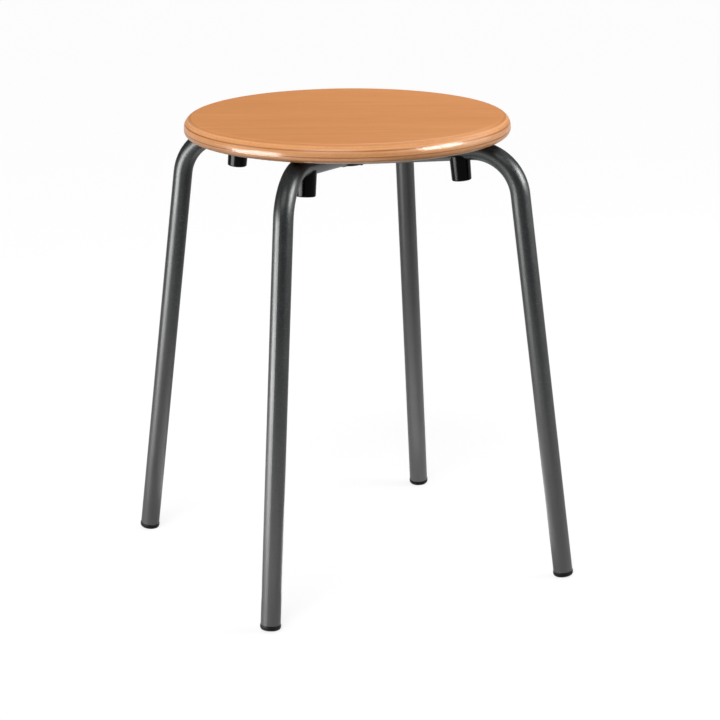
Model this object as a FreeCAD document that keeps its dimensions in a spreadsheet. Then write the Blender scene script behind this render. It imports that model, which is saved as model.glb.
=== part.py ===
import FreeCAD, Part
import Sketcher
import math
import os

# Stacking stool: a round plywood seat on four bent tube legs that meet in a hub under the seat.
# Millimetres. Z is up, the origin is on the floor under the middle of the seat.
# Each leg lies in a vertical plane through the Z axis. The planes are 90 degrees apart.

SIZES = {
    # Seat
    "seat_height": 450.0,
    "seat_diameter": 317.0,
    "seat_thickness": 18.0,
    "seat_top_rounding": 10.0,
    "seat_lower_rounding": 6.0,
    "seat_edge_land": 0.4,
    # Tube frame
    "tube_diameter": 19.0,
    "tube_wall": 1.5,
    "foot_circle_radius": 224.0,
    "leg_splay": 7.3,
    "arm_fall": 5.6,
    "bend_radius": 46.0,
    "crown_gap": 0.2,
    # Hub and mounting plate
    "hub_diameter": 30.0,
    "hub_wall": 2.5,
    "hub_overhang": 0.1,
    "plate_diameter": 100.0,
    "plate_thickness": 4.0,
    "plate_vent_diameter": 16.0,
    # Seat fastening
    "screw_circle_radius": 36.0,
    "screw_diameter": 6.0,
    "screw_length": 16.0,
    "screw_hole_clearance": 0.3,
    "screw_head_diameter": 10.5,
    "screw_head_height": 3.3,
    "screw_head_rounding": 2.2,
    "screw_socket_width": 4.0,
    "screw_socket_depth": 2.0,
    "washer_diameter": 12.0,
    "washer_thickness": 1.6,
    "insert_diameter": 9.0,
    "insert_length": 10.0,
    "insert_groove_depth": 0.6,
    "insert_groove_width": 1.2,
    "insert_groove_pitch": 2.4,
    "insert_fit": 0.1,
    "thread_fit": 0.1,
    "insert_hole_spare": 1.0,
    # Stacking stops
    "stop_setback": 11.3,
    "stop_drop": 39.4,
    "stop_root_diameter": 20.2,
    "stop_tip_diameter": 19.0,
    "stop_tip_rounding": 1.2,
    "stop_saddle_depth": 5.0,
    "stop_saddle_gap": 0.1,
    "stop_stem_diameter": 8.0,
    "stop_stem_reach": 4.0,
    "stop_stem_chamfer": 1.2,
    "stop_stem_fit": 0.1,
    # Foot glides
    "glide_rim_proud": 0.4,
    "glide_rim_height": 5.2,
    "glide_rounding": 3.4,
    "glide_floor_flat": 0.5,
    "glide_stem_length": 16.0,
    "glide_stem_fit": 0.1,
    "glide_rib_depth": 0.7,
    "glide_rib_width": 1.5,
    "glide_rib_pitch": 4.0,
}

# Places worked out from the sizes, in the vertical plane of a leg: reach is measured from the Z axis.
DERIVED = {
    "seat_underside": "=sizes.seat_height - sizes.seat_thickness",
    "seat_rounding_share": "=min(1; (sizes.seat_thickness - sizes.seat_edge_land)"
                           " / (sizes.seat_top_rounding + sizes.seat_lower_rounding))",
    "hub_top": "=seat_underside - sizes.plate_thickness",
    "crown_height": "=seat_underside - sizes.crown_gap - sizes.tube_diameter / 2",
    "bend_height": "=crown_height - sizes.bend_radius",
    "bend_reach": "=sizes.foot_circle_radius"
                  " - (sizes.bend_radius + bend_height * sin(sizes.leg_splay * 1 deg))"
                  " / cos(sizes.leg_splay * 1 deg)",
    "arm_start_reach": "=bend_reach - sizes.bend_radius * sin(sizes.arm_fall * 1 deg)",
    "arm_start_height": "=bend_height + sizes.bend_radius * cos(sizes.arm_fall * 1 deg)",
    "arm_hub_height": "=arm_start_height - arm_start_reach * tan(sizes.arm_fall * 1 deg)",
    "hub_bottom": "=arm_hub_height + sizes.hub_diameter / 2 * tan(sizes.arm_fall * 1 deg)"
                  " - sizes.tube_diameter / 2 / cos(sizes.arm_fall * 1 deg) - sizes.hub_overhang",
    "glide_rim_radius": "=sizes.tube_diameter / 2 + sizes.glide_rim_proud",
    "glide_base": "=(sizes.glide_rounding - sizes.glide_floor_flat"
                  " + (glide_rim_radius - sizes.glide_rounding) * sin(sizes.leg_splay * 1 deg))"
                  " / cos(sizes.leg_splay * 1 deg) - sizes.glide_rounding",
    "tube_end": "=glide_base + sizes.glide_rim_height",
    "tube_end_reach": "=sizes.foot_circle_radius - tube_end * sin(sizes.leg_splay * 1 deg)",
    "tube_end_height": "=tube_end * cos(sizes.leg_splay * 1 deg)",
    "stop_tip_height": "=seat_underside - sizes.stop_drop",
    "stop_root_reach": "=arm_start_reach - sizes.stop_setback * cos(sizes.arm_fall * 1 deg)",
    "stop_root_height": "=arm_start_height - sizes.stop_setback * sin(sizes.arm_fall * 1 deg)",
    "stop_length": "=(stop_root_height - stop_tip_height) / cos(sizes.arm_fall * 1 deg)",
    "screw_reach": "=sizes.screw_length - sizes.plate_thickness - sizes.washer_thickness",
    "insert_hole_depth": "=max(screw_reach; sizes.insert_length) + sizes.insert_hole_spare",
}

LEG_COUNT = 4
LEG_NAMES = ("front_left", "front_right", "back_right", "back_left")
FIRST_LEG_ANGLE = -135
CUT_MARGIN = 1.0
GEOMETRY_TOLERANCE = 1e-4

doc = FreeCAD.newDocument("stacking_stool")
sizes = doc.addObject("Spreadsheet::Sheet", "sizes")
derived = doc.addObject("Spreadsheet::Sheet", "derived")


def fill_sheet(sheet, cells):
    for row, (alias, content) in enumerate(cells.items(), start=1):
        sheet.set("A%d" % row, alias)
        sheet.set("B%d" % row, str(content))
        sheet.setAlias("B%d" % row, alias)
    doc.recompute()


def value(expression):
    """The number that an expression on the sheets gives."""
    result = derived.evalExpression(expression)
    return float(getattr(result, "Value", result))


def origin_plane(body, role):
    return [plane for plane in body.Origin.OriginFeatures if plane.Role == role][0]


def new_body(label, placement=None):
    body = doc.addObject("PartDesign::Body", label)
    body.Label = label
    if placement:
        body.setExpression("Placement", placement)
    return body


def new_sketch(body, name, role="XY_Plane", height=None, reach=None, tilt=None):
    """A sketch on an origin plane, raised by height, moved out by reach and tilted about Y by tilt."""
    sketch = body.newObject("Sketcher::SketchObject", name)
    sketch.AttachmentSupport = (origin_plane(body, role), [""])
    sketch.MapMode = "FlatFace"
    if tilt:
        sketch.AttachmentOffset = FreeCAD.Placement(
            FreeCAD.Vector(0, 0, 0), FreeCAD.Rotation(FreeCAD.Vector(0, 1, 0), value(tilt)))
        sketch.setExpression("AttachmentOffset.Rotation.Angle", tilt)
    if height:
        sketch.setExpression("AttachmentOffset.Base.z", height)
    if reach:
        sketch.setExpression("AttachmentOffset.Base.x", reach)
    return sketch


def constrain(sketch, expression, *arguments):
    index = sketch.addConstraint(Sketcher.Constraint(*arguments, value(expression)))
    sketch.setExpression("Constraints[%d]" % index, expression)


def pin_point(sketch, geometry, position, across, up):
    """Hold a point at the place that two expressions give, None meaning on the axis."""
    if across is None:
        sketch.addConstraint(Sketcher.Constraint("PointOnObject", geometry, position, -2))
    else:
        constrain(sketch, across, "DistanceX", -1, 1, geometry, position)
    if up is None:
        sketch.addConstraint(Sketcher.Constraint("PointOnObject", geometry, position, -1))
    else:
        constrain(sketch, up, "DistanceY", -1, 1, geometry, position)


def draw_circle(sketch, diameter, across=None):
    centre = FreeCAD.Vector(value(across) if across else 0, 0, 0)
    circle = sketch.addGeometry(Part.Circle(centre, FreeCAD.Vector(0, 0, 1), value(diameter) / 2))
    constrain(sketch, diameter, "Diameter", circle)
    if across:
        pin_point(sketch, circle, 3, across, None)
    else:
        sketch.addConstraint(Sketcher.Constraint("Coincident", circle, 3, -1, 1))
    return circle


def draw_outline(sketch, points):
    """A closed outline of straight lines through points given as pairs of expressions."""
    corners = []
    for across, up in points:
        corners.append(FreeCAD.Vector(value(across) if across else 0, value(up) if up else 0, 0))
    lines = []
    for start, end in zip(corners, corners[1:] + corners[:1]):
        lines.append(sketch.addGeometry(Part.LineSegment(start, end)))
    for line, following in zip(lines, lines[1:] + lines[:1]):
        sketch.addConstraint(Sketcher.Constraint("Coincident", line, 2, following, 1))
    for line, (across, up) in zip(lines, points):
        pin_point(sketch, line, 1, across, up)


def pad(body, name, sketch, length):
    feature = body.newObject("PartDesign::Pad", name)
    feature.Profile = sketch
    feature.setExpression("Length", length)
    sketch.Visibility = False
    doc.recompute()
    return feature


def pocket(body, name, sketch, length=None, upward=False):
    """A blind pocket of the given length, or one through everything on both sides."""
    volume_before = body.Tip.Shape.Volume
    feature = body.newObject("PartDesign::Pocket", name)
    feature.Profile = sketch
    feature.Reversed = upward
    if length:
        feature.setExpression("Length", length)
    else:
        feature.Type = "ThroughAll"
        feature.Midplane = True
    sketch.Visibility = False
    doc.recompute()
    if feature.Shape.Volume >= volume_before - GEOMETRY_TOLERANCE:
        raise RuntimeError("%s cuts nothing" % name)
    return feature


def revolve(body, name, sketch):
    feature = body.newObject("PartDesign::Revolution", name)
    feature.Profile = sketch
    feature.ReferenceAxis = (sketch, ["V_Axis"])
    feature.Angle = 360
    sketch.Visibility = False
    doc.recompute()
    return feature


def polar_pattern(body, name, features):
    pattern = body.newObject("PartDesign::PolarPattern", name)
    pattern.Originals = features
    pattern.Axis = (origin_plane(body, "Z_Axis"), [""])
    pattern.Angle = 360
    pattern.Occurrences = LEG_COUNT
    body.Tip = pattern
    doc.recompute()
    return pattern


def circular_edges(feature, radius, height):
    """Names of the circular edges of one radius at one height above the body's origin."""
    names = []
    for number, edge in enumerate(feature.Shape.Edges, start=1):
        if not isinstance(edge.Curve, Part.Circle):
            continue
        same_radius = abs(edge.Curve.Radius - radius) < GEOMETRY_TOLERANCE
        if same_radius and abs(edge.Curve.Center.z - height) < GEOMETRY_TOLERANCE:
            names.append("Edge%d" % number)
    return names


def round_edges(body, name, edges, radius):
    base = body.Tip
    feature = body.newObject("PartDesign::Fillet", name)
    feature.Base = (base, edges)
    feature.setExpression("Radius", radius)
    doc.recompute()
    return feature


def leg_angle(index):
    return FIRST_LEG_ANGLE + index * 360 / LEG_COUNT


def leg_plane(index):
    """The placement of a piece drawn in the XZ plane, turned into the vertical plane of one leg."""
    return "placement(vector(0; 0; 0); rotation(vector(0; 0; 1); %s deg))" % leg_angle(index)


def in_leg_plane(index, reach, height, tilt):
    """The placement of a piece drawn about its own Z axis, tilted about Y and put on one leg."""
    spot = "placement(vector(%s; 0; %s); rotation(vector(0; 1; 0); %s))" % (reach, height, tilt)
    return leg_plane(index) + " * " + spot


def build_seat_panel():
    body = new_body("seat_panel")
    disc = new_sketch(body, "seat_disc", height="derived.seat_underside")
    draw_circle(disc, "sizes.seat_diameter")
    pad(body, "seat_blank", disc, "sizes.seat_thickness")
    rim_radius = value("sizes.seat_diameter") / 2
    upper_rim = circular_edges(body.Tip, rim_radius, value("sizes.seat_height"))
    round_edges(body, "seat_top_rounding", upper_rim,
                "sizes.seat_top_rounding * derived.seat_rounding_share")
    lower_rim = circular_edges(body.Tip, rim_radius, value("derived.seat_underside"))
    round_edges(body, "seat_lower_rounding", lower_rim,
                "sizes.seat_lower_rounding * derived.seat_rounding_share")
    hole = new_sketch(body, "insert_hole", height="derived.seat_underside")
    draw_circle(hole, "sizes.insert_diameter + 2 * sizes.insert_fit", "sizes.screw_circle_radius")
    first = pocket(body, "insert_hole_cut", hole, "derived.insert_hole_depth", upward=True)
    polar_pattern(body, "insert_holes", [first])
    return body


def build_mounting_plate():
    body = new_body("mounting_plate")
    disc = new_sketch(body, "plate_disc", height="derived.hub_top")
    draw_circle(disc, "sizes.plate_diameter")
    draw_circle(disc, "sizes.plate_vent_diameter")
    pad(body, "plate_blank", disc, "sizes.plate_thickness")
    hole = new_sketch(body, "screw_hole", height="derived.hub_top")
    draw_circle(hole, "sizes.screw_diameter + 2 * sizes.screw_hole_clearance",
                "sizes.screw_circle_radius")
    first = pocket(body, "screw_hole_cut", hole)
    polar_pattern(body, "screw_holes", [first])
    return body


def build_hub_tube():
    body = new_body("hub_tube")
    ring = new_sketch(body, "hub_ring", height="derived.hub_bottom")
    draw_circle(ring, "sizes.hub_diameter")
    draw_circle(ring, "sizes.hub_diameter - 2 * sizes.hub_wall")
    pad(body, "hub_blank", ring, "derived.hub_top - derived.hub_bottom")
    return body


def draw_leg_path(sketch):
    """The tube's centre line: up the leg, round the bend and down the arm to the hub's axis."""
    splay = math.radians(value("sizes.leg_splay"))
    fall = math.radians(value("sizes.arm_fall"))
    radius = value("sizes.bend_radius")
    centre = FreeCAD.Vector(value("derived.bend_reach"), value("derived.bend_height"), 0)
    foot = FreeCAD.Vector(value("derived.tube_end_reach"), value("derived.tube_end_height"), 0)
    leg_top = centre + FreeCAD.Vector(math.cos(splay), math.sin(splay), 0) * radius
    arm_start = centre + FreeCAD.Vector(-math.sin(fall), math.cos(fall), 0) * radius
    arm_end = FreeCAD.Vector(0, value("derived.arm_hub_height"), 0)
    leg = sketch.addGeometry(Part.LineSegment(foot, leg_top))
    bend_circle = Part.Circle(centre, FreeCAD.Vector(0, 0, 1), radius)
    bend = sketch.addGeometry(Part.ArcOfCircle(bend_circle, splay, math.pi / 2 + fall))
    arm = sketch.addGeometry(Part.LineSegment(arm_start, arm_end))
    sketch.addConstraint(Sketcher.Constraint("Tangent", leg, 2, bend, 1))
    sketch.addConstraint(Sketcher.Constraint("Tangent", bend, 2, arm, 1))
    constrain(sketch, "sizes.bend_radius", "Radius", bend)
    pin_point(sketch, bend, 3, "derived.bend_reach", "derived.bend_height")
    pin_point(sketch, leg, 1, "derived.tube_end_reach", "derived.tube_end_height")
    pin_point(sketch, arm, 2, None, "derived.arm_hub_height")


def build_leg(index):
    body = new_body(LEG_NAMES[index] + "_leg", leg_plane(index))
    section = new_sketch(body, "section_%d" % index, height="derived.tube_end_height",
                         reach="derived.tube_end_reach", tilt="-sizes.leg_splay * 1 deg")
    draw_circle(section, "sizes.tube_diameter")
    draw_circle(section, "sizes.tube_diameter - 2 * sizes.tube_wall")
    path = new_sketch(body, "path_%d" % index, "XZ_Plane")
    draw_leg_path(path)
    doc.recompute()
    pipe = body.newObject("PartDesign::AdditivePipe", "tube_%d" % index)
    pipe.Profile = section
    pipe.Spine = (path, [])
    section.Visibility = False
    path.Visibility = False
    doc.recompute()
    cope = new_sketch(body, "cope_%d" % index)
    draw_circle(cope, "sizes.hub_diameter")
    pocket(body, "cope_cut_%d" % index, cope)
    hole = new_sketch(body, "stop_hole_%d" % index, height="derived.stop_root_height",
                      reach="derived.stop_root_reach", tilt="-sizes.arm_fall * 1 deg")
    draw_circle(hole, "sizes.stop_stem_diameter + 2 * sizes.stop_stem_fit")
    pocket(body, "stop_hole_cut_%d" % index, hole, "sizes.tube_diameter")
    return body


def build_stop(index):
    """A buffer drawn about its own Z axis, whose origin is on the centre line of the arm."""
    body = new_body(LEG_NAMES[index] + "_stop",
                    in_leg_plane(index, "derived.stop_root_reach", "derived.stop_root_height",
                                 "-sizes.arm_fall * 1 deg"))
    top = "sizes.stop_saddle_depth - sizes.tube_diameter / 2"
    profile = new_sketch(body, "stop_profile_%d" % index, "XZ_Plane")
    draw_outline(profile, [
        (None, "-derived.stop_length"),
        ("sizes.stop_tip_diameter / 2", "-derived.stop_length"),
        ("sizes.stop_root_diameter / 2", top),
        (None, top),
    ])
    revolve(body, "stop_barrel_%d" % index, profile)
    tip = circular_edges(body.Tip, value("sizes.stop_tip_diameter") / 2, -value("derived.stop_length"))
    round_edges(body, "stop_rounding_%d" % index, tip, "sizes.stop_tip_rounding")
    saddle = new_sketch(body, "stop_saddle_%d" % index, "YZ_Plane")
    draw_circle(saddle, "sizes.tube_diameter + 2 * sizes.stop_saddle_gap")
    pocket(body, "stop_saddle_cut_%d" % index, saddle)
    stem_radius = "sizes.stop_stem_diameter / 2"
    stem_root = "-sizes.tube_diameter / 2 - sizes.stop_stem_reach"
    stem_top = "sizes.stop_stem_reach + sizes.tube_wall - sizes.tube_diameter / 2"
    stem = new_sketch(body, "stop_stem_%d" % index, "XZ_Plane")
    draw_outline(stem, [
        (None, stem_root),
        (stem_radius, stem_root),
        (stem_radius, stem_top + " - sizes.stop_stem_chamfer"),
        (stem_radius + " - sizes.stop_stem_chamfer", stem_top),
        (None, stem_top),
    ])
    revolve(body, "stop_stem_pin_%d" % index, stem)
    return body


def glide_outline():
    """Half section of a glide: the rim below, the stem above it and the ribs that grip the tube."""
    rim = "derived.glide_rim_radius"
    grip = "(sizes.tube_diameter / 2 - sizes.tube_wall - sizes.glide_stem_fit)"
    core = grip + " - sizes.glide_rib_depth"
    points = [
        (None, "derived.glide_base"),
        (rim, "derived.glide_base"),
        (rim, "derived.tube_end"),
        (core, "derived.tube_end"),
    ]
    rib_count = int(value("sizes.glide_stem_length / sizes.glide_rib_pitch"))
    for rib in range(1, rib_count + 1):
        foot = "derived.tube_end + %d * sizes.glide_rib_pitch - sizes.glide_rib_width" % rib
        points.append((core, foot))
        points.append((grip, foot))
        points.append((core, foot + " + sizes.glide_rib_width"))
    points.append((None, foot + " + sizes.glide_rib_width"))
    return points


def build_glide(index):
    """A glide drawn about its own Z axis, whose origin is where the leg's axis meets the floor."""
    body = new_body(LEG_NAMES[index] + "_glide",
                    in_leg_plane(index, "sizes.foot_circle_radius", "0", "-sizes.leg_splay * 1 deg"))
    profile = new_sketch(body, "glide_profile_%d" % index, "XZ_Plane")
    draw_outline(profile, glide_outline())
    revolve(body, "glide_blank_%d" % index, profile)
    rim = circular_edges(body.Tip, value("derived.glide_rim_radius"), value("derived.glide_base"))
    round_edges(body, "glide_rounding_%d" % index, rim, "sizes.glide_rounding")
    floor = new_sketch(body, "glide_floor_%d" % index, "XZ_Plane")
    draw_floor_cut(floor)
    pocket(body, "glide_floor_cut_%d" % index, floor)
    return body


def draw_floor_cut(sketch):
    """The region below the floor, seen in the tilted frame of a glide."""
    width = "sizes.tube_diameter"
    rise = width + " * tan(sizes.leg_splay * 1 deg)"
    draw_outline(sketch, [
        ("-" + width, rise),
        (width, "-" + rise),
        (width, "-" + width + " - " + rise),
        ("-" + width, "-" + width + " - " + rise),
    ])


def build_seat_screws():
    """Button head screws that point up, with their heads against the washers."""
    body = new_body("seat_screws")
    reach = "sizes.screw_circle_radius"
    seating = "derived.hub_top - sizes.washer_thickness"
    head = new_sketch(body, "screw_head", height=seating + " - sizes.screw_head_height")
    draw_circle(head, "sizes.screw_head_diameter", reach)
    head_pad = pad(body, "screw_head_blank", head, "sizes.screw_head_height")
    crown = circular_edges(body.Tip, value("sizes.screw_head_diameter") / 2,
                           value(seating + " - sizes.screw_head_height"))
    rounding = round_edges(body, "screw_head_crown", crown, "sizes.screw_head_rounding")
    shank = new_sketch(body, "screw_shank", height=seating)
    draw_circle(shank, "sizes.screw_diameter", reach)
    shank_pad = pad(body, "screw_shank_blank", shank, "sizes.screw_length")
    socket = new_sketch(body, "screw_socket", height=seating + " - sizes.screw_head_height")
    draw_hexagon(socket, "sizes.screw_socket_width", reach)
    socket_cut = pocket(body, "screw_socket_cut", socket, "sizes.screw_socket_depth", upward=True)
    polar_pattern(body, "screw_set", [head_pad, rounding, shank_pad, socket_cut])
    return body


def draw_hexagon(sketch, width, across):
    """A hexagon of one width across its flats, with its middle on the X axis."""
    points = []
    for corner in range(6):
        angle = corner * 60
        points.append(("%s + %s / sqrt(3) * cos(%d deg)" % (across, width, angle),
                       "%s / sqrt(3) * sin(%d deg)" % (width, angle) if angle % 180 else None))
    draw_outline(sketch, points)


def build_seat_washers():
    body = new_body("seat_washers")
    ring = new_sketch(body, "washer_ring", height="derived.hub_top - sizes.washer_thickness")
    draw_circle(ring, "sizes.washer_diameter", "sizes.screw_circle_radius")
    draw_circle(ring, "sizes.screw_diameter + 2 * sizes.screw_hole_clearance",
                "sizes.screw_circle_radius")
    blank = pad(body, "washer_blank", ring, "sizes.washer_thickness")
    polar_pattern(body, "washer_set", [blank])
    return body


def build_insert_nuts():
    """Grooved sleeves pressed into the seat from below, flush with its underside."""
    body = new_body("insert_nuts")
    ring = new_sketch(body, "insert_ring", height="derived.seat_underside")
    draw_circle(ring, "sizes.insert_diameter", "sizes.screw_circle_radius")
    draw_circle(ring, "sizes.screw_diameter + 2 * sizes.thread_fit", "sizes.screw_circle_radius")
    sleeve = pad(body, "insert_sleeve", ring, "sizes.insert_length")
    features = [sleeve]
    groove_count = int(value("sizes.insert_length / sizes.insert_groove_pitch")) - 1
    for groove in range(1, groove_count + 1):
        height = "derived.seat_underside + %d * sizes.insert_groove_pitch" % groove
        band = new_sketch(body, "insert_groove_%d" % groove, height=height)
        draw_circle(band, "sizes.insert_diameter + %s" % CUT_MARGIN, "sizes.screw_circle_radius")
        draw_circle(band, "sizes.insert_diameter - 2 * sizes.insert_groove_depth",
                    "sizes.screw_circle_radius")
        features.append(pocket(body, "insert_groove_cut_%d" % groove, band,
                               "sizes.insert_groove_width", upward=True))
    polar_pattern(body, "insert_set", features)
    return body


def check_document():
    for item in doc.Objects:
        faults = [state for state in item.State if state in ("Invalid", "Error")]
        if faults:
            raise RuntimeError("%s is %s" % (item.Name, ", ".join(faults)))


def export(body):
    shape = body.Shape
    if shape.isNull() or not shape.isValid() or not shape.Solids:
        raise RuntimeError("%s has no valid solid" % body.Label)
    shape.exportStep(os.path.join("parts", body.Label + ".step"))
    box = shape.BoundBox
    print("%-20s solids %d volume %9.1f  x %.1f %.1f  y %.1f %.1f  z %.1f %.1f" % (
        body.Label, len(shape.Solids), shape.Volume,
        box.XMin, box.XMax, box.YMin, box.YMax, box.ZMin, box.ZMax))


fill_sheet(sizes, SIZES)
fill_sheet(derived, DERIVED)
pieces = [build_seat_panel(), build_mounting_plate(), build_hub_tube()]
for builder in (build_leg, build_stop, build_glide):
    for leg_index in range(LEG_COUNT):
        pieces.append(builder(leg_index))
pieces += [build_seat_screws(), build_seat_washers(), build_insert_nuts()]
doc.recompute()
check_document()
os.makedirs("parts", exist_ok=True)
for piece in pieces:
    export(piece)
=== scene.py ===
import math

import bmesh
import bpy
from mathutils import Matrix, Vector


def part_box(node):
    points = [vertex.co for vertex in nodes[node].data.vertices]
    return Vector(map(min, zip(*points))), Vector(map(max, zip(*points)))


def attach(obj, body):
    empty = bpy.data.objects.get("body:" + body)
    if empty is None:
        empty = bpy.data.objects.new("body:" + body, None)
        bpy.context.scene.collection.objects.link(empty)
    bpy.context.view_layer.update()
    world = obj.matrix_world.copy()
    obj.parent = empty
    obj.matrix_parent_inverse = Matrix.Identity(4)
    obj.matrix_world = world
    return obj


# A stacking stool: a lacquered plywood seat on four bent tube legs, with stacking stops and foot glides.
# Metres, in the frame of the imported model: Z up, the floor at 0.

MM = 0.001
LEG_NAMES = ("front_left", "front_right", "back_right", "back_left")
LEG_ANGLES = (-135, -45, 45, 135)

# Camera: angles in degrees, aimed from its azimuth at the middle of the stool and then turned by its yaw.
CAMERA_AZIMUTH = -25.238
CAMERA_DISTANCE = 2.33834
CAMERA_HEIGHT = 0.87365
CAMERA_PITCH = 16.026
CAMERA_YAW = -0.265
CAMERA_ROLL = 0.374
CAMERA_LENS = 121.89
SENSOR_WIDTH = 36.0

# Seat: the grain lies across the view. Depths and widths are shares of the thickness, from the top down.
GRAIN_ANGLE = -25.4
PLY_COUNT = 11
PLY_LINE_DARKNESS = 0.25
PLY_LINE_FADE = 0.014
GLUE_LINES = (0.32, 0.65)
GLUE_LINE_DARKNESS = 0.75
GLUE_LINE_CORE = 0.015
GLUE_LINE_FADE = 0.045
FACE_LINE = ((0.02, 0.0), (0.04, 0.4), (0.08, 0.4), (0.11, 0.0))
FACE_TOP = 0.02
FACE_BOTTOM = 0.06

# Paint, in metres: a painted reflection of the floor lightens the legs up to its top. A painted sheen
# lightens the paint where X + Y is large, which is on the back right leg alone, and less towards the top of
# the sheen.
FLOOR_REFLECTION_TOP = 0.3
SHEEN_STARTS = 0.18
SHEEN_FULL = 0.24
SHEEN_TOP = 0.4

# Frame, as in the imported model: the arms fall towards the hub, whose top meets the mounting plate.
TUBE_RADIUS = 9.5 * MM
HUB_RADIUS = 15 * MM
HUB_TOP = 428 * MM
ARM_HUB_HEIGHT = 409.83 * MM
ARM_FALL = math.radians(5.6)

# Weld seams
SEAM_STEPS = 192
BEAD_SIDES = 10
RIPPLE_HEIGHT = 0.14
ARM_BEAD_RADIUS = 1.0 * MM
ARM_BEAD_RIPPLES = 38
HUB_BEAD_RADIUS = 1.7 * MM
HUB_BEAD_RIPPLES = 48

# Studio: metres, and brightness where 1 is that of a lit white floor.
FLOOR_REACH = 20.0
FLOOR_BOUNCE = (92, 92, 92)
FLOOR_GLOW = 0.75
FLOOR_CARD_HEIGHT = 0.003
KEY_REACH = 3
WORLD_LOW = 0.1
WORLD_HIGH = 0.62
WORLD_LOW_BELOW = 0.15
WORLD_HIGH_ABOVE = 0.9

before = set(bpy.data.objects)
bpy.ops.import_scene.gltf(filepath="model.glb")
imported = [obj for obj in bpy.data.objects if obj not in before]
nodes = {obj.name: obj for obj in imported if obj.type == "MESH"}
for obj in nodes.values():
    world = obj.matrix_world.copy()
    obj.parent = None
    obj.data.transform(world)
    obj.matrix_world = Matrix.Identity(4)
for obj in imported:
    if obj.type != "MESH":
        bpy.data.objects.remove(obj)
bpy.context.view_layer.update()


class Surface:
    """A material made of nodes. Each method adds one node and gives back the socket to use."""

    def __init__(self, name):
        self.material = bpy.data.materials.new(name)
        self.material.use_nodes = True
        self.tree = self.material.node_tree
        self.shader = self.tree.nodes["Principled BSDF"]
        self.place = self.add("ShaderNodeTexCoord").outputs["Object"]

    def add(self, kind, inputs=None, **settings):
        node = self.tree.nodes.new(kind)
        for name, value in settings.items():
            setattr(node, name, value)
        for name, value in (inputs or {}).items():
            self.feed(node.inputs[name], value)
        return node

    def feed(self, socket, value):
        if isinstance(value, bpy.types.NodeSocket):
            self.tree.links.new(value, socket)
        else:
            socket.default_value = value

    def set(self, **inputs):
        """Inputs of the shader, by their names with _ for a space."""
        for name, value in inputs.items():
            self.feed(self.shader.inputs[name.replace("_", " ")], value)

    def stretch(self, scale, turn=0.0):
        """The place, turned about Z and then multiplied along each axis."""
        turned = self.add("ShaderNodeMapping", {
            "Vector": self.place,
            "Rotation": (0, 0, math.radians(turn)),
        }).outputs["Vector"]
        return self.add("ShaderNodeMapping", {"Vector": turned, "Scale": scale}).outputs["Vector"]

    def noise(self, place, scale=1.0, detail=2.0, roughness=0.5, distortion=0.0):
        return self.add("ShaderNodeTexNoise", {
            "Vector": place,
            "Scale": scale,
            "Detail": detail,
            "Roughness": roughness,
            "Distortion": distortion,
        }).outputs["Fac"]

    def math(self, operation, first, second=0.0):
        node = self.add("ShaderNodeMath", operation=operation)
        self.feed(node.inputs[0], first)
        self.feed(node.inputs[1], second)
        return node.outputs[0]

    def spread(self, value, low, high, new_low=0.0, new_high=1.0):
        """The value moved from one range to another, and held inside it."""
        return self.add("ShaderNodeMapRange", {
            "Value": value,
            "From Min": low,
            "From Max": high,
            "To Min": new_low,
            "To Max": new_high,
        }).outputs["Result"]

    def mix(self, factor, first, second):
        node = self.add("ShaderNodeMix", data_type="RGBA", blend_type="MIX")
        self.feed(node.inputs[0], factor)
        self.feed(node.inputs[6], first)
        self.feed(node.inputs[7], second)
        return node.outputs[2]

    def ramp(self, value, stops):
        """A grey level for each position along a line: stops are pairs of position and level."""
        node = self.add("ShaderNodeValToRGB", {"Fac": value})
        elements = node.color_ramp.elements
        while len(elements) < len(stops):
            elements.new(0.5)
        for element, (position, level) in zip(elements, stops):
            element.position = position
            element.color = (level, level, level, 1)
        return node.outputs["Color"]

    def bump(self, height, distance):
        return self.add("ShaderNodeBump", {
            "Height": height,
            "Distance": distance,
            "Strength": 1.0,
        }).outputs["Normal"]


def linear(red, green, blue):
    """A colour written in display values from 0 to 255, as the renderer's linear light."""
    levels = []
    for value in (red, green, blue):
        level = value / 255
        levels.append(level / 12.92 if level <= 0.04045 else ((level + 0.055) / 1.055) ** 2.4)
    return (*levels, 1)


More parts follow.
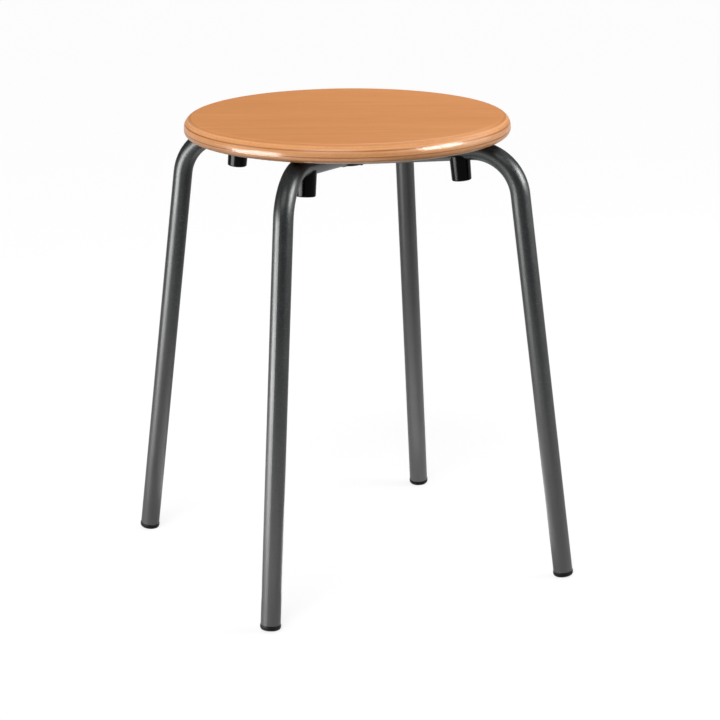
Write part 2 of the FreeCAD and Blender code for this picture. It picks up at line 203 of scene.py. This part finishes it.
def seat_plywood():
    """A streaked face veneer, and crossed plies with dark glue lines on the edge."""
    low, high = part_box("seat_panel")
    wood = Surface("lacquered_beech_plywood")
    axes = wood.add("ShaderNodeSeparateXYZ", {"Vector": wood.place})
    depth = wood.spread(axes.outputs["Z"], high.z, low.z)
    ply = wood.math("FLOOR", wood.math("MULTIPLY", depth, PLY_COUNT))
    crossed = wood.math("MODULO", ply, 2.0)
    face = wood.spread(depth, FACE_TOP, FACE_BOTTOM, 1.0, 0.0)

    def fibres(along, across):
        """A place drawn out along the fibres, which turn by a right angle from one ply to the next."""
        straight = wood.stretch((along, across, across), -GRAIN_ANGLE)
        turned = wood.stretch((across, along, across), -GRAIN_ANGLE)
        return wood.mix(crossed, straight, turned)

    broad = wood.noise(fibres(3.0, 16.0), detail=3.0, roughness=0.55, distortion=0.4)
    streaks = wood.noise(fibres(9.0, 330.0), detail=4.0, roughness=0.6)
    fine = wood.noise(fibres(40.0, 1500.0), detail=2.0)
    flecks = wood.spread(wood.noise(fibres(260.0, 1700.0), detail=1.0), 0.64, 0.74)
    dark = wood.mix(face, linear(214, 149, 95), linear(206, 135, 76))
    pale = wood.mix(face, linear(234, 173, 119), linear(217, 146, 85))
    tone = wood.mix(wood.spread(broad, 0.3, 0.7), dark, pale)
    tone = wood.mix(wood.spread(streaks, 0.3, 0.72, 0.0, 0.3), tone, linear(190, 114, 58))
    tone = wood.mix(wood.spread(fine, 0.35, 0.75, 0.0, 0.18), tone, linear(240, 174, 108))
    tone = wood.mix(wood.math("MULTIPLY", flecks, 0.2), tone, linear(160, 90, 44))
    thin_lines = []
    for index in range(1, PLY_COUNT):
        edge = index / PLY_COUNT
        thin_lines += [
            (edge - PLY_LINE_FADE, 0.0),
            (edge, PLY_LINE_DARKNESS),
            (edge + PLY_LINE_FADE, 0.0),
        ]
    thick_lines = list(FACE_LINE)
    for line in GLUE_LINES:
        thick_lines += [
            (line - GLUE_LINE_FADE, 0.0),
            (line - GLUE_LINE_CORE, GLUE_LINE_DARKNESS),
            (line + GLUE_LINE_CORE, GLUE_LINE_DARKNESS),
            (line + GLUE_LINE_FADE, 0.0),
        ]
    lines = wood.math("MAXIMUM", wood.ramp(depth, thin_lines), wood.ramp(depth, thick_lines))
    tone = wood.mix(lines, tone, linear(150, 81, 41))
    ripple = wood.noise(fibres(6.0, 60.0), detail=3.0)
    wood.set(Base_Color=tone)
    wood.set(Roughness=wood.spread(streaks, 0.3, 0.7, 0.44, 0.54))
    wood.set(Specular_IOR_Level=0.06, Coat_Weight=0.32, Coat_Roughness=0.18)
    wood.set(Normal=wood.bump(ripple, 0.00004))
    wood.set(Coat_Normal=wood.bump(ripple, 0.000001))
    return wood.material


def frame_paint():
    """Fine sparkling paint, with a painted floor reflection lightening it near the floor and a painted
    sheen on the back right leg.
    """
    paint = Surface("graphite_powder_coat")
    peel = paint.noise(paint.place, 800.0, detail=2.0)
    cloud = paint.noise(paint.place, 30.0, detail=3.0)
    sparkle = paint.noise(paint.place, 1300.0, detail=1.0)
    tone = paint.mix(cloud, linear(14, 19, 20), linear(22, 27, 28))
    tone = paint.mix(paint.spread(sparkle, 0.58, 0.74, 0.0, 0.45), tone, linear(96, 100, 100))
    axes = paint.add("ShaderNodeSeparateXYZ", {"Vector": paint.place})
    height = axes.outputs["Z"]
    sideways = paint.math("ADD", axes.outputs["X"], axes.outputs["Y"])
    back_right = paint.spread(sideways, SHEEN_STARTS, SHEEN_FULL)
    # Painted reflection of the floor: the paint grows lighter towards the floor, in patches.
    reflection_patches = paint.noise(paint.stretch((90, 90, 14)), detail=4.0, roughness=0.6)
    low_down = paint.spread(height, 0.0, FLOOR_REFLECTION_TOP, 1.0, 0.0)
    painted_floor_reflection = paint.math("MULTIPLY", low_down, paint.spread(reflection_patches, 0.3, 0.7, 0.8, 1.0))
    tone = paint.mix(painted_floor_reflection, tone, linear(88, 87, 87))
    # Painted sheen: the back right leg is lighter, most near the floor.
    painted_sheen = paint.math("MULTIPLY", back_right, paint.spread(height, 0.0, SHEEN_TOP, 0.9, 0.15))
    tone = paint.mix(painted_sheen, tone, linear(112, 111, 111))
    paint.set(Base_Color=tone)
    paint.set(Roughness=paint.spread(cloud, 0.3, 0.7, 0.34, 0.4))
    paint.set(Specular_IOR_Level=0.23)
    paint.set(Normal=paint.bump(peel, 0.000012))
    return paint.material


def black_plastic(name, shade, low_roughness, high_roughness, gloss):
    """Moulded plastic with a fine grit. The shade is a display value from 0 to 255."""
    plastic = Surface(name)
    cloud = plastic.noise(plastic.place, 60.0, detail=3.0)
    grit = plastic.noise(plastic.place, 1400.0, detail=2.0)
    dark = linear(shade, shade, shade + 1)
    plastic.set(Base_Color=plastic.mix(cloud, dark, linear(shade + 8, shade + 8, shade + 9)))
    plastic.set(Roughness=plastic.spread(cloud, 0.3, 0.7, low_roughness, high_roughness))
    plastic.set(Specular_IOR_Level=gloss)
    plastic.set(Normal=plastic.bump(grit, 0.000004))
    return plastic.material


def bare_metal(name, dull, bright, low_roughness, high_roughness):
    """Metal with fine marks along Z."""
    metal = Surface(name)
    brushed = metal.noise(metal.stretch((900, 900, 90)), detail=3.0)
    cloud = metal.noise(metal.place, 120.0, detail=3.0)
    metal.set(Base_Color=metal.mix(cloud, dull, bright), Metallic=1.0)
    metal.set(Roughness=metal.spread(brushed, 0.3, 0.7, low_roughness, high_roughness))
    metal.set(Normal=metal.bump(brushed, 0.00001))
    return metal.material


def give(material, *names):
    """Puts the material on these pieces."""
    for name in names:
        slots = nodes[name].material_slots
        for slot in slots:
            slot.material = material
        if not slots:
            nodes[name].data.materials.append(material)


give(seat_plywood(), "seat_panel")
paint = frame_paint()
give(paint, "mounting_plate", "hub_tube", *[name + "_leg" for name in LEG_NAMES])
give(black_plastic("stop_plastic", shade=1, low_roughness=0.14, high_roughness=0.2, gloss=0.05),
     *[name + "_stop" for name in LEG_NAMES])
give(black_plastic("glide_plastic", shade=4, low_roughness=0.4, high_roughness=0.5, gloss=0.12),
     *[name + "_glide" for name in LEG_NAMES])
give(bare_metal("zinc_plate", linear(150, 155, 158), linear(196, 200, 203), 0.24, 0.4),
     "seat_screws", "seat_washers")
give(bare_metal("insert_brass", linear(166, 128, 62), linear(196, 158, 88), 0.28, 0.42), "insert_nuts")


def bead(name, path, axis, radius, ripples):
    """A weld seam along a closed path that goes round the axis, with its ripples."""
    shape = bmesh.new()
    rings = []
    for index, point in enumerate(path):
        along = (path[(index + 1) % len(path)] - path[index - 1]).normalized()
        side = along.cross(axis).normalized()
        rise = side.cross(along)
        phase = 2 * math.pi * index * ripples / len(path)
        reach = radius * (1 + RIPPLE_HEIGHT * math.cos(phase))
        ring = []
        for corner in range(BEAD_SIDES):
            turn = 2 * math.pi * corner / BEAD_SIDES
            ring.append(shape.verts.new(point + (side * math.cos(turn) + rise * math.sin(turn)) * reach))
        rings.append(ring)
    for index, ring in enumerate(rings):
        following = rings[(index + 1) % len(rings)]
        for corner in range(BEAD_SIDES):
            beyond = (corner + 1) % BEAD_SIDES
            shape.faces.new((ring[corner], ring[beyond], following[beyond], following[corner]))
    bmesh.ops.recalc_face_normals(shape, faces=shape.faces)
    for face in shape.faces:
        face.smooth = True
    mesh = bpy.data.meshes.new(name)
    shape.to_mesh(mesh)
    shape.free()
    piece = bpy.data.objects.new(name, mesh)
    bpy.context.scene.collection.objects.link(piece)
    mesh.materials.append(paint)
    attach(piece, "root")


def weld_frame():
    """Seams round the hub under the plate, and round each arm where it meets the hub."""
    for name, angle in zip(LEG_NAMES, LEG_ANGLES):
        turned = Matrix.Rotation(math.radians(angle), 3, "Z")
        path = []
        for step in range(SEAM_STEPS):
            turn = 2 * math.pi * step / SEAM_STEPS
            across = TUBE_RADIUS * math.cos(turn)
            out = math.sqrt(HUB_RADIUS ** 2 - across ** 2)
            above = TUBE_RADIUS * math.sin(turn) / math.cos(ARM_FALL)
            height = ARM_HUB_HEIGHT + out * math.tan(ARM_FALL) + above
            path.append(turned @ Vector((out, across, height)))
        axis = turned @ Vector((math.cos(ARM_FALL), 0, math.sin(ARM_FALL)))
        bead(name + "_weld", path, axis, ARM_BEAD_RADIUS, ARM_BEAD_RIPPLES)
    path = []
    for step in range(SEAM_STEPS):
        turn = 2 * math.pi * step / SEAM_STEPS
        path.append(Vector((HUB_RADIUS * math.cos(turn), HUB_RADIUS * math.sin(turn), HUB_TOP)))
    bead("hub_weld", path, Vector((0, 0, 1)), HUB_BEAD_RADIUS, HUB_BEAD_RIPPLES)


weld_frame()


def from_camera(angle):
    """Horizontal direction from the stool, turned from the camera's side. Positive is to the right."""
    turned = math.radians(CAMERA_AZIMUTH - 90 + angle)
    return Vector((math.cos(turned), math.sin(turned), 0))


def make_camera():
    data = bpy.data.cameras.new("camera")
    data.lens = CAMERA_LENS
    data.sensor_width = SENSOR_WIDTH
    camera = bpy.data.objects.new("camera", data)
    bpy.context.scene.collection.objects.link(camera)
    turn = Matrix.Rotation(math.radians(CAMERA_AZIMUTH + CAMERA_YAW), 4, "Z")
    tilt = Matrix.Rotation(math.radians(90 - CAMERA_PITCH), 4, "X")
    roll = Matrix.Rotation(math.radians(-CAMERA_ROLL), 4, "Z")
    place = from_camera(0) * CAMERA_DISTANCE + Vector((0, 0, CAMERA_HEIGHT))
    camera.matrix_world = Matrix.Translation(place) @ turn @ tilt @ roll
    bpy.context.scene.camera = camera


def place_light(name, data, location):
    """A light that the camera doesn't see."""
    light = bpy.data.objects.new(name, data)
    light.location = location
    light.visible_camera = False
    bpy.context.scene.collection.objects.link(light)
    return light


def aim(light, target):
    light.rotation_euler = (Vector(target) - light.location).to_track_quat("-Z", "Y").to_euler()


def panel(name, location, width, tall, radiance):
    """A rectangular light of the given radiance, where 1 is the brightness of a lit white floor."""
    data = bpy.data.lights.new(name, "AREA")
    data.shape = "RECTANGLE"
    data.size = width
    data.size_y = tall
    data.energy = radiance * math.pi * width * tall
    return place_light(name, data, location)


def softbox(name, angle, height, reach, width, tall, radiance, target):
    """A panel at an angle from the camera's side, a height and a distance, aimed at the target."""
    light = panel(name, from_camera(angle) * reach + Vector((0, 0, height)), width, tall, radiance)
    aim(light, target)
    return light


def gloss_card(name, **settings):
    """A softbox that only shows in gloss, as a reflector card too dim to light the stool."""
    softbox(name, **settings).visible_diffuse = False


def floor_card(name, side, front, width, depth, radiance):
    """A panel that lies on the floor, square to the camera, and only shows in gloss."""
    spot = from_camera(90) * side + from_camera(0) * front + Vector((0, 0, FLOOR_CARD_HEIGHT))
    light = panel(name, spot, width, depth, radiance)
    light.rotation_euler = (math.pi, 0, math.radians(CAMERA_AZIMUTH))
    light.visible_diffuse = False


def far_light(name, angle, elevation, width, irradiance):
    """A distant round light. An irradiance of 1 lights a white surface that faces it to full white."""
    data = bpy.data.lights.new(name, "SUN")
    data.angle = math.radians(width)
    data.energy = irradiance * math.pi
    rise = math.radians(elevation)
    up = Vector((0, 0, math.sin(rise) * KEY_REACH))
    light = place_light(name, data, from_camera(angle) * math.cos(rise) * KEY_REACH + up)
    aim(light, (0, 0, 0))


def seen_ray(tree):
    """1 for rays that show the background: from the camera, off gloss and through glass."""
    path = tree.nodes.new("ShaderNodeLightPath")
    value = path.outputs["Is Camera Ray"]
    for name in ("Is Glossy Ray", "Is Transmission Ray"):
        larger = tree.nodes.new("ShaderNodeMath")
        larger.operation = "MAXIMUM"
        tree.links.new(value, larger.inputs[0])
        tree.links.new(path.outputs[name], larger.inputs[1])
        value = larger.outputs[0]
    return value


def make_floor():
    """A white floor that keeps the stool's shadow, throws little light back, and is clear from below."""
    mesh = bpy.data.meshes.new("floor")
    shape = bmesh.new()
    bmesh.ops.create_grid(shape, x_segments=1, y_segments=1, size=FLOOR_REACH)
    shape.to_mesh(mesh)
    shape.free()
    floor = bpy.data.objects.new("floor", mesh)
    bpy.context.scene.collection.objects.link(floor)
    surface = Surface("floor")
    seen = seen_ray(surface.tree)
    shades = surface.mix(seen, linear(*FLOOR_BOUNCE), (1, 1, 1, 1))
    surface.set(Base_Color=shades, Roughness=1.0, Specular_IOR_Level=0.0)
    glow = surface.add("ShaderNodeEmission", {"Color": (1, 1, 1, 1), "Strength": 1.0})
    both = surface.add("ShaderNodeMixShader")
    surface.feed(both.inputs[0], surface.math("MULTIPLY", seen, FLOOR_GLOW))
    surface.feed(both.inputs[1], surface.shader.outputs[0])
    surface.feed(both.inputs[2], glow.outputs[0])
    below = surface.add("ShaderNodeMixShader")
    surface.feed(below.inputs[0], surface.add("ShaderNodeNewGeometry").outputs["Backfacing"])
    surface.feed(below.inputs[1], both.outputs[0])
    surface.feed(below.inputs[2], surface.add("ShaderNodeBsdfTransparent").outputs[0])
    surface.feed(surface.tree.nodes["Material Output"].inputs["Surface"], below.outputs[0])
    mesh.materials.append(surface.material)


def make_world():
    """A grey surrounding that grows brighter upwards."""
    world = bpy.data.worlds.new("studio")
    world.use_nodes = True
    bpy.context.scene.world = world
    tree = world.node_tree
    background = tree.nodes["Background"]
    background.inputs["Color"].default_value = (1, 1, 1, 1)
    place = tree.nodes.new("ShaderNodeTexCoord")
    axes = tree.nodes.new("ShaderNodeSeparateXYZ")
    tree.links.new(place.outputs["Generated"], axes.inputs["Vector"])
    strength = tree.nodes.new("ShaderNodeMapRange")
    strength.inputs["From Min"].default_value = WORLD_LOW_BELOW
    strength.inputs["From Max"].default_value = WORLD_HIGH_ABOVE
    strength.inputs["To Min"].default_value = WORLD_LOW
    strength.inputs["To Max"].default_value = WORLD_HIGH
    tree.links.new(axes.outputs["Z"], strength.inputs["Value"])
    tree.links.new(strength.outputs["Result"], background.inputs["Strength"])


make_camera()
make_floor()
make_world()
far_light("key", angle=-15, elevation=42, width=36, irradiance=0.68)
softbox("top_box", angle=150, height=1.0, reach=0.45, width=0.6, tall=0.6, radiance=1.1,
        target=(0, 0, 0.44))
softbox("left_fill", angle=-72, height=0.6, reach=1.3, width=0.6, tall=1.0, radiance=2.0,
        target=(0, 0, 0.3))
softbox("right_fill", angle=95, height=0.75, reach=1.4, width=0.8, tall=1.0, radiance=4.0,
        target=(0, 0, 0.3))
gloss_card("left_card", angle=-63, height=0.22, reach=1.2, width=0.8, tall=0.5, radiance=40.0,
           target=(0, 0, 0.3))
gloss_card("right_card", angle=68, height=1.02, reach=1.5, width=0.9, tall=0.7, radiance=52.0,
           target=(0, 0, 0.44))
floor_card("middle_floor_card", side=0, front=0, width=0.28, depth=0.28, radiance=3.2)
floor_card("front_floor_card", side=-0.3, front=0.66, width=1.05, depth=0.58, radiance=3.2)
floor_card("left_floor_card", side=-0.62, front=0.12, width=0.44, depth=0.48, radiance=3.2)

bpy.context.scene.view_settings.view_transform = "Standard"
